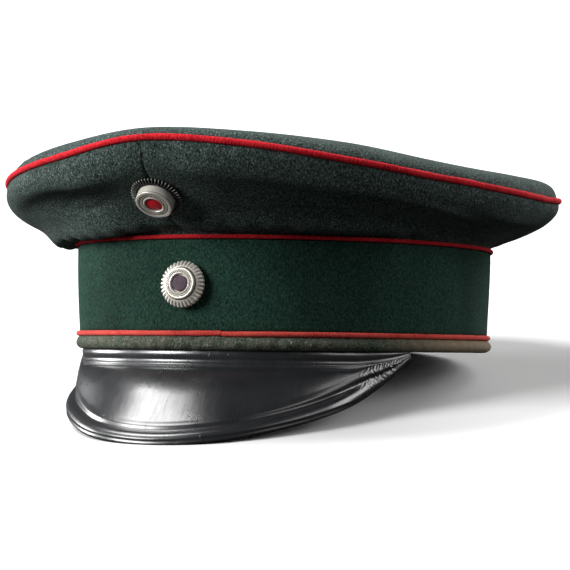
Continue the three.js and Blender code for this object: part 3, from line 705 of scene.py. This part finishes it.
def crown_top():
    """The domed top: close rings where it springs up beside its piping, then even ones to its middle."""
    springing = np.radians(np.linspace(0, 80, TOP_STEPS[1] + 1))
    share = np.cos(springing) ** (2 / DOME_SHARPNESS)
    share = np.concatenate([share, np.linspace(share[-1], 0, TOP_STEPS[1] + 1)[1:]])
    phi = round_steps(TOP_STEPS[0])
    phi_grid, share_grid = np.meshgrid(phi, share, indexing="ij")
    outer = top_point(phi_grid, share_grid, 0)
    fade = np.clip((1 - share_grid) / 0.06, 0, 1) * np.clip(share_grid / 0.3, 0, 1)
    outer[..., 2] += TOP_WAVES * fade * unevenness(phi_grid, share_grid, 11, (1, 7), (0.3, 2.0))
    puckers = unevenness(phi_grid, share_grid, 13, (40, 90), (0.1, 0.6)) * bell(share_grid, 0.985, 0.015)
    outer[..., 2] += TOP_PUCKERS * puckers * (share_grid < 1)
    outer[:, 0] -= TOP_EDGE_TUCK * UP
    inner = top_point(phi_grid[:, ::2], share_grid[:, ::2], CROWN_WALL)
    pole = top_point(phi_grid[:, -1:], share_grid[:, -1:], CROWN_WALL)
    sections = both_sides(outer, np.concatenate([inner, pole], axis=1))
    return piece("crown_top", sections, True, CROWN_WOOL)


# Pipings
JOIN_REACH = 8


def piping(name, radius, centre_at, outward_at, paint, steps, ribs, join=None):
    """A cord in cloth: fine ribs lean round it, and where its ends meet it is pinched and steps down a little."""
    turn = 2 * math.pi * (np.arange(PIPING_SIDES) + 0.5) / PIPING_SIDES
    phi_grid, turn_grid = np.meshgrid(round_steps(steps), turn, indexing="ij")
    ribbing = PIPING_RIBS * unevenness(phi_grid, turn_grid / (2 * math.pi), 17, ribs, (0.4, 1.6), 10)
    waver = PIPING_WAVER * unevenness(phi_grid, turn_grid * 0, 19, (9, 60), (0, 1))
    swell = 1 + ribbing + waver
    centre = centre_at(phi_grid)
    if join:
        swell = swell - join["pinch"] * bell(phi_grid, join["phi"], join["spread"])
        step = join["step"] * np.tanh((join["phi"] - phi_grid) / join["spread"])
        centre[..., 2] += step * bell(phi_grid, join["phi"], JOIN_REACH)
    reach = (radius * swell)[..., None]
    way = outward_at(phi_grid) * np.cos(turn_grid)[..., None] + UP * np.sin(turn_grid)[..., None]
    return piece(name, centre + reach * way, True, paint)


# Band and hem
BAND_FOOT = HEM_HEIGHT + BAND_PIPING + GAP
BAND_HEAD = UPPER_PIPING_HEIGHT - BAND_PIPING - GAP
BAND_FOOT_LIP = ((-0.9, -0.75), (-0.35, -0.3))
BAND_HEAD_LIP = ((-0.25, 0.3), (-0.8, 0.75))
BAND_FOOT_INSIDE = ((-BAND_WALL, -0.75),)
BAND_HEAD_INSIDE = ((-BAND_WALL, 0.75),)


def band_face(phi, share):
    inset = BAND_FOOT_INSET * (1 - share) + PIPING_STAND - BAND_SWELL * 4 * share * (1 - share)
    angle = np.radians(phi)
    x = (BAND[1] - inset) * np.sin(angle)
    y = -(BAND[0] - inset) * np.cos(angle)
    return np.stack([x, y, BAND_FOOT + (BAND_HEAD - BAND_FOOT) * share], -1)


def band():
    """The band's cloth turns in behind both pipings."""
    share = np.linspace(0, 1, BAND_STEPS[1] + 1)
    phi_grid, share_grid = np.meshgrid(round_steps(BAND_STEPS[0]), share, indexing="ij")
    outward = oval_outward(BAND, phi_grid)
    edge = np.minimum(share_grid, 1 - share_grid)
    soft = BAND_WAVES * np.clip(edge / 0.1, 0, 1) * unevenness(phi_grid, share_grid, 23, (2, 14), (0.1, 0.7))
    seam = -BAND_SEAM * bell(np.abs(phi_grid), 180, 0.5)
    base = band_face(phi_grid, share_grid)
    outer = base + outward * (soft + seam)[..., None]
    foot, head = base[:, 0], base[:, -1]
    inner = base[:, :1] + (head - foot)[:, None] * share_grid[..., None] - outward * BAND_WALL
    way = outward[:, 0]
    front = np.concatenate([lip(foot, way, BAND_FOOT_LIP), outer, lip(head, way, BAND_HEAD_LIP)], axis=1)
    back = np.concatenate([lip(foot, way, BAND_FOOT_INSIDE), inner, lip(head, way, BAND_HEAD_INSIDE)], axis=1)
    return piece("band", both_sides(front, back), True, BAND_CLOTH)


# The hem's rounded section, outside first, as shares of its wall and of its height; at its head it turns in behind
# the piping
HEM_SECTION = np.array([
    (-0.5, 0), (-0.12, 0.06), (0.12, 0.28), (0.22, 0.58), (0.06, 0.94), (-0.36, 1.17), (-1, 1.17), (-1, 0),
])


def corner_cut(points, rounds):
    """A closed outline with its corners rounded."""
    for _ in range(rounds):
        after = np.roll(points, -1, 0)
        points = np.stack([0.78 * points + 0.22 * after, 0.22 * points + 0.78 * after], 1).reshape(-1, 2)
    return points


def hem():
    height = HEM_HEIGHT - BAND_PIPING - GAP
    rows = [
        (HEM_WALL * out + (HEM_ROLL * 4 * up * (1 - up) if out > 0 else 0), height * up) for out, up in HEM_SECTION
    ]
    outline = corner_cut(np.array(rows), 2)
    phi_grid, place = np.meshgrid(round_steps(HEM_STEPS), np.arange(len(outline)), indexing="ij")
    out, up = outline[place, 0], outline[place, 1]
    uneven = HEM_WAVES * unevenness(phi_grid, place / len(outline), 29, (12, 110), (0.3, 1.5))
    out = out + uneven * (out > -0.6 * HEM_WALL)
    outward = oval_outward(FOOT, phi_grid)
    points = oval(FOOT, phi_grid) + outward * out[..., None] + UP * up[..., None]
    return piece("hem", points, True, HEM_WOOL, floor=True)


# Peak: relief across its rim bead and groove, below its collar and over its collar, in millimetres
PEAK_BASE = (FOOT[0] + HEM_ROLL, FOOT[1] + HEM_ROLL)
COLLAR_TUCK = 0.5
RIM_AT = (0, 0.5, 1.4, 2.6, 3.8, 4.8, 5.6, 6.2, 6.9, 7.6, 8.6, 10)
RIM_HEIGHT = (-0.1, 0.65, 1.05, 1.15, 0.8, 0.1, -0.5, -0.62, -0.35, 0.05, 0.12, 0)
RIM_WIDTH = 10.0
RIM_STEPS = 40
RIM_SHARE = 0.88
KNEE_AT = (0, 0.6, 1.5, 2.6, 4)
KNEE_HEIGHT = (0.45, 0.2, -0.3, -0.12, 0)
KNEE_WIDTH = 4.0
KNEE_STEPS = 16
KNEE_SHARE = 0.8
KNEE_SOFTENING = 3
COLLAR_AT = (0, 0.14, 0.32, 0.52, 0.7, 0.86, 1)
COLLAR_HEIGHT = (0, 0.35, 0.5, 0.25, -0.12, 0.08, 0.45)
COLLAR_STEPS = 24
CRINKLED_FROM = 0.66
FINE_FROM = 0.62


def crinkled(turn, from_rim):
    """Lacquer wrinkled where the peak's left corner has been bent."""
    bent = np.clip((turn - CRINKLED_FROM) / 0.2, 0, 1) ** 1.5
    waves = unevenness(turn * 360, from_rim / 10, 31, (14, 80), (1, 8), 24)
    inside_bead = np.clip((from_rim - 1.5) / 3, 0, 1) * bell(np.maximum(from_rim - 6, 0), 0, 3 + 9 * bent)
    return CRINKLES * bent * waves * inside_bead


def peak_section(turn):
    """A section straight out from the hem, from the collar's top over the bead and back along the underside."""
    phi = PEAK_CORNER * turn
    base = oval(PEAK_BASE, phi)
    outward = oval_outward(PEAK_BASE, phi)
    drop = PEAK_DROP * along_rim(RIM_DROPS, abs(turn))
    fade = min(1, drop / PEAK_FADE_DROP)
    start = np.array([-COLLAR_INSET, COLLAR_TUCK - GAP])
    knee = np.array([COLLAR_LEAN * fade - COLLAR_INSET, -GAP - COLLAR_DROP * fade])
    rim = np.array([PEAK_FORWARD * along_rim(RIM_REACHES, abs(turn)), -GAP - drop])
    run = rim - knee
    length = np.linalg.norm(run)
    raised = np.array([-run[1], run[0]]) / length
    bead = min(1, RIM_SHARE * length / RIM_WIDTH)
    ridge = min(fade, (length - RIM_WIDTH * bead) * KNEE_SHARE / KNEE_WIDTH)
    rim_stations = np.linspace(0, RIM_WIDTH, RIM_STEPS + 1) * bead
    knee_stations = np.linspace(KNEE_WIDTH, 0, KNEE_STEPS + 1) * ridge
    middle = np.linspace(rim_stations[-1], length - knee_stations[0], 22)[1:-1]
    from_rim = np.concatenate([rim_stations, middle, length - knee_stations])
    t = 1 - from_rim / length
    bow = fade * (PEAK_BOW * 4 * t * (1 - t) + PEAK_DISH * np.sin(2 * math.pi * t))
    panel = knee + t[:, None] * run + raised * bow[:, None]
    heights = bead * through(RIM_AT, RIM_HEIGHT, from_rim / bead)
    heights = heights + ridge * through(KNEE_AT, KNEE_HEIGHT, (length - from_rim) / ridge)
    share = np.linspace(1, 0, COLLAR_STEPS + 1)[1:]
    collar = start + share[:, None] * (knee - start)
    path = np.concatenate([panel, collar])
    heights = np.concatenate([heights, fade * through(COLLAR_AT, COLLAR_HEIGHT, share)])
    softened = path.copy()
    for _ in range(KNEE_SOFTENING):
        softened[1:-1] = (softened[:-2] + 2 * softened[1:-1] + softened[2:]) / 4
    way = -np.gradient(softened, axis=0)
    way /= np.linalg.norm(way, axis=1, keepdims=True)
    normal = np.stack([-way[:, 1], way[:, 0]], -1)
    heights[: len(from_rim)] += crinkled(turn, from_rim)
    outer, inner = softened + normal * heights[:, None], softened - normal * PEAK_WALL
    middle_of_edge, half = (outer[0] + inner[0]) / 2, (outer[0] - inner[0]) / 2
    forward = way[0] * np.linalg.norm(half)
    angles = np.radians(np.linspace(180, 0, 8)[1:-1])[:, None]
    edge = middle_of_edge + np.cos(angles) * half + np.sin(angles) * forward
    outline = np.concatenate([outer[::-1], edge[::-1], inner])
    return base + outline[:, :1] * outward + outline[:, 1:] * UP


def peak():
    turns = np.concatenate([np.linspace(-1, FINE_FROM, 140), np.linspace(FINE_FROM, 1, 130)[1:]])
    sections = np.stack([peak_section(turn) for turn in turns])
    return piece("peak", sections, False, PEAK_LACQUER, sharp=70, floor=True)


# Cockades
def corners_of(name):
    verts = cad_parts[name].data.vertices
    return np.unique(np.round([tuple(v.co) for v in verts], 6), axis=0)


def cockade_frame(label):
    """Axes and foot of a cockade: its pin and its cup are turned about the same axis."""
    middle = corners_of(label + "_cup").mean(0)
    outward = middle - corners_of(label + "_pin").mean(0)
    outward /= np.linalg.norm(outward)
    foot = middle + outward * np.min((corners_of(label + "_cup") - middle) @ outward)
    spin = Vector(UP).rotation_difference(Vector(TURN.T @ outward)).to_matrix()
    return TURN @ np.array(spin), foot


def round_grid(radius, angle, height):
    return np.stack([radius * np.cos(angle), radius * np.sin(angle), height], -1)


def turned(label, part, profile, paint, knurl=None, sides=180):
    """A turned body; each row of its profile is a radius, a height and how much dirt it holds."""
    axes, origin = cockade_frame(label)
    profile = np.array(profile, float)
    angle = 2 * math.pi * np.arange(sides) / sides
    angle_grid, place = np.meshgrid(angle, np.arange(len(profile)), indexing="ij")
    radius, height, dirt = (profile[place, column] for column in range(3))
    if knurl:
        within = np.clip(np.minimum(radius - knurl["inside"], knurl["outside"] - radius) / 0.15, 0, 1)
        wave = within * np.cos(knurl["count"] * angle_grid)
        height = height + knurl["depth"] * wave
        dirt = np.clip(dirt - knurl["dirt"] * wave, 0, 1)
    return piece(
        f"{label}_{part}", round_grid(radius, angle_grid, height), True, paint,
        place=lambda points: points * MM @ axes.T + origin, sharp=35, worn=dirt,
    )


def ribbed_rim(label, shape, paint):
    """A ring of radial ribs that slopes from its crown beside the cup to its scalloped edge."""
    axes, origin = cockade_frame(label)
    steps = shape["ribs"] * 16
    angle = 2 * math.pi * np.arange(steps) / steps
    share = np.concatenate([np.linspace(0, 0.9, 13), [0.95, 0.985, 1.0]])
    angle_grid, share_grid = np.meshgrid(angle, share, indexing="ij")
    rib = np.abs(np.cos(angle_grid * shape["ribs"] / 2)) ** shape["narrowness"]
    width = shape["outer"] - shape["inner"] - shape["scallop"] * (1 - rib)
    radius = shape["inner"] + width * share_grid
    growth = np.clip((share_grid - shape["plain"]) / 0.3, 0, 1)
    rounded = 0.35 * np.clip((share_grid - 0.9) / 0.1, 0, 1) ** 2
    height = shape["crown"] + (shape["edge"] - shape["crown"]) * share_grid**1.3
    height = height - shape["flute"] * (1 - rib) * growth - rounded
    marks = shape["marks"](rib, share_grid) * growth
    top = round_grid(radius, angle_grid, np.maximum(height, 0.05))
    foot = round_grid(radius, angle_grid, height * 0)[:, [0, -1]]
    return piece(
        f"{label}_rim", both_sides(top, foot), True, paint,
        place=lambda points: points * MM @ axes.T + origin, sharp=60,
        worn=np.concatenate([marks, marks[:, :2] * 0], axis=1),
    )


UPPER_CUP = (
    (0, 0, 0), (7.2, 0, 0), (7.2, 3.75, 0.1), (7.12, 4.0, 0.75), (7.14, 4.15, 0.75), (7.08, 4.35, 0.15),
    (6.85, 4.55, 0), (6.4, 4.62, 0), (5.95, 4.58, 0.05), (5.72, 4.4, 0.55), (5.6, 4.22, 0.9), (5.48, 4.3, 0.5),
    (5.36, 4.42, 0.3), (4.95, 4.46, 0.3), (4.55, 4.42, 0.35), (4.42, 4.28, 0.7), (4.3, 4.3, 0.55), (4.2, 4.42, 0.1),
    (4.02, 4.6, 0), (3.8, 4.66, 0), (3.58, 4.56, 0), (3.44, 4.35, 0.1), (3.4, 4.1, 0.4), (3.4, 3.31, 0.8),
    (0, 3.31, 0),
)
UPPER_STONE = (
    (0, 3.61, 0), (3.1, 3.61, 0), (3.1, 3.9, 0), (3.02, 4.02, 0), (2.7, 4.16, 0), (2.1, 4.33, 0), (1.3, 4.46, 0),
    (0.6, 4.52, 0), (0, 4.53, 0),
)
LOWER_CUP = (
    (0, 0, 0), (6.2, 0, 0.9), (6.2, 3.0, 0.7), (6.14, 3.35, 0.2), (5.95, 3.6, 0), (5.7, 3.7, 0), (5.45, 3.66, 0.1),
    (5.3, 3.5, 0.6), (5.2, 3.5, 0.55), (5.05, 3.66, 0.1), (4.85, 3.76, 0), (4.68, 3.7, 0.2), (4.56, 3.56, 0.8),
    (4.44, 3.66, 0.35), (4.25, 3.84, 0), (3.95, 3.9, 0), (3.65, 3.74, 0.05), (3.48, 3.45, 0.2), (3.4, 3.1, 0.4),
    (3.4, 2.81, 0.5), (0, 2.81, 0),
)
LOWER_STONE = (
    (0, 3.11, 0), (3.1, 3.11, 0), (3.1, 3.28, 0), (3.0, 3.36, 0), (2.4, 3.42, 0), (1.6, 3.46, 0), (0.8, 3.48, 0),
    (0, 3.5, 0),
)
UPPER_KNURL = {"inside": 4.4, "outside": 5.75, "count": 44, "depth": 0.07, "dirt": 0.3}
LOWER_KNURL = {"inside": 4.45, "outside": 4.75, "count": 40, "depth": 0.05, "dirt": 0.35}


def bared_ribs(rib, share):
    """The black paint is worn off the ribs, most of all at their outer ends."""
    return np.clip(rib**3 * (0.25 + 0.75 * np.clip((share - 0.45) / 0.4, 0, 1)), 0, 1)


def dirty_flutes(rib, share):
    """Dirt lies between the ribs, all the way out."""
    return np.clip((1 - rib) ** 1.5 * 0.9, 0, 1)


UPPER_RIM = {
    "ribs": 44, "inner": 7.5, "outer": 10.1, "edge": 0.85, "crown": 1.1, "flute": 0.7, "scallop": 0.4,
    "narrowness": 2.2, "plain": 0.15, "marks": bared_ribs,
}
LOWER_RIM = {
    "ribs": 34, "inner": 6.5, "outer": 9.1, "edge": 1.05, "crown": 2.6, "flute": 0.5, "scallop": 0.4,
    "narrowness": 0.7, "plain": 0.2, "marks": dirty_flutes,
}


def cockades():
    ribbed_rim("upper_cockade", UPPER_RIM, BLACKENED)
    turned("upper_cockade", "cup", UPPER_CUP, SILVER, UPPER_KNURL, sides=264)
    turned("upper_cockade", "centre", UPPER_STONE, RED_ENAMEL, sides=72)
    ribbed_rim("lower_cockade", LOWER_RIM, SILVER)
    turned("lower_cockade", "cup", LOWER_CUP, SILVER, LOWER_KNURL, sides=240)
    turned("lower_cockade", "centre", LOWER_STONE, PURPLE_ENAMEL, sides=72)
    for label in ("upper_cockade", "lower_cockade"):
        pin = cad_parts[label + "_pin"]
        pin.data.materials.clear()
        pin.data.materials.append(SILVER)


# The pieces
crown_top()
crown_panel("crown_panel_front_left", 0, 90)
crown_panel("crown_panel_rear_left", 90, 180)
crown_panel("crown_panel_rear_right", -180, -90)
crown_panel("crown_panel_front_right", -90, 0)
piping(
    "crown_piping",
    CROWN_CORD,
    lambda phi: crown_edge(phi) - CROWN_CORD_SAG * UP,
    lambda phi: oval_outward(CROWN, phi),
    RED_PIPING,
    steps=3000,
    ribs=(420, 700),
    join={"phi": 66, "pinch": 0.1, "spread": 0.3, "step": 0.1},
)
piping(
    "band_top_piping",
    BAND_CORD,
    lambda phi: oval(BAND, phi, UPPER_PIPING_HEIGHT),
    lambda phi: oval_outward(BAND, phi),
    DEEP_RED_PIPING,
    steps=2000,
    ribs=(300, 480),
)
piping(
    "band_bottom_piping",
    BAND_PIPING,
    lambda phi: oval(FOOT, phi, HEM_HEIGHT),
    lambda phi: oval_outward(FOOT, phi),
    FADED_PIPING,
    steps=2000,
    ribs=(300, 480),
    join={"phi": 11.5, "pinch": 0.16, "spread": 0.35, "step": 0.16},
)
band()
hem()
peak()
cockades()

# Camera at the photograph's angle to the cap: its place and turn are in the upright cap's frame
VIEW_PLACE = (343.42, -777.06, 0.97)
VIEW_TURN = math.radians(23.901)
VIEW_RISE = math.radians(-1.839)
VIEW_ROLL = math.radians(-0.691)
FOCAL_SHARE = 1973.98 / 570
SENSOR = 36.0
CLIP = (0.01, 100.0)


def set_camera():
    ahead = -np.array([
        math.sin(VIEW_TURN) * math.cos(VIEW_RISE),
        -math.cos(VIEW_TURN) * math.cos(VIEW_RISE),
        math.sin(VIEW_RISE),
    ])
    right = np.array([math.cos(VIEW_TURN), math.sin(VIEW_TURN), 0])
    above = np.cross(right, ahead)
    rolled_right = right * math.cos(VIEW_ROLL) - above * math.sin(VIEW_ROLL)
    rolled_above = right * math.sin(VIEW_ROLL) + above * math.cos(VIEW_ROLL)
    axes = TURN @ np.stack([rolled_right, rolled_above, -ahead], 1)
    data = bpy.data.cameras.new("camera")
    data.sensor_width = SENSOR
    data.lens = FOCAL_SHARE * SENSOR
    data.clip_start, data.clip_end = CLIP
    camera = bpy.data.objects.new("camera", data)
    camera.matrix_world = Matrix.Translation(to_row(VIEW_PLACE)) @ Matrix(axes.tolist()).to_4x4()
    bpy.context.scene.collection.objects.link(camera)
    bpy.context.scene.camera = camera


# Floor, light and backdrop
FLOOR_REACH = 12.0
FLOOR_DROP = 0.0002
FLOOR_SEEN, FLOOR_GLOW = 0.97, 0.05
STUDIO_SEEN, STUDIO_GLOW = 1.02, 0.05
AIM = (0.0, 0.0, 0.06)
LIGHT_REACH = 2.0

# Softboxes: azimuth, rise and spread in degrees, and strength
SOFTBOXES = {
    "key_softbox": (-45, 26, 30, 3.4),
    "side_softbox": (-96, 9, 30, 2.2),
    "right_softbox": (122, 20, 35, 1.0),
    "front_right_softbox": (82, 28, 22, 0.3),
    "top_softbox": (-92, 63, 26, 2.0),
    "back_softbox": (170, 25, 35, 1.8),
}


def add_light(name, azimuth, rise, spread, strength):
    """A far softbox; its azimuth turns from the front towards the wearer's left."""
    data = bpy.data.lights.new(name, "SUN")
    data.energy = strength
    data.angle = math.radians(spread)
    azimuth, rise = math.radians(azimuth), math.radians(rise)
    way = Vector((math.sin(azimuth) * math.cos(rise), -math.cos(azimuth) * math.cos(rise), math.sin(rise)))
    made = bpy.data.objects.new(name, data)
    made.location = tuple(Vector(AIM) + LIGHT_REACH * way)
    made.rotation_mode = "QUATERNION"
    made.rotation_quaternion = way.to_track_quat("Z", "Y")
    bpy.context.scene.collection.objects.link(made)


def grey(value):
    return (value, value, value, 1)


def set_floor():
    """A white floor that throws less light back on the cap than it shows to the camera."""
    r = FLOOR_REACH
    mesh = bpy.data.meshes.new("floor")
    mesh.from_pydata([(-r, -r, 0), (r, -r, 0), (r, r, 0), (-r, r, 0)], [], [(0, 1, 2, 3)])
    paint, tree, surface = finish_named("floor_paint", Roughness=0.9, Specular_IOR_Level=0.0)
    seen = node(tree, "ShaderNodeLightPath").outputs["Is Camera Ray"]
    tree.links.new(blended(tree, seen, grey(FLOOR_GLOW), grey(FLOOR_SEEN)), surface.inputs["Base Color"])
    mesh.materials.append(paint)
    floor = bpy.data.objects.new("floor", mesh)
    floor.location.z = -FLOOR_DROP
    bpy.context.scene.collection.objects.link(floor)


def set_studio():
    world = bpy.data.worlds.new("studio")
    world.use_nodes = True
    tree = world.node_tree
    background = tree.nodes["Background"]
    background.inputs["Color"].default_value = grey(1)
    seen = node(tree, "ShaderNodeLightPath").outputs["Is Camera Ray"]
    tree.links.new(between(tree, seen, 0, 1, STUDIO_GLOW, STUDIO_SEEN), background.inputs["Strength"])
    bpy.context.scene.world = world
    for name, values in SOFTBOXES.items():
        add_light(name, *values)
    bpy.context.scene.view_settings.view_transform = "Standard"


set_camera()
set_floor()
set_studio()
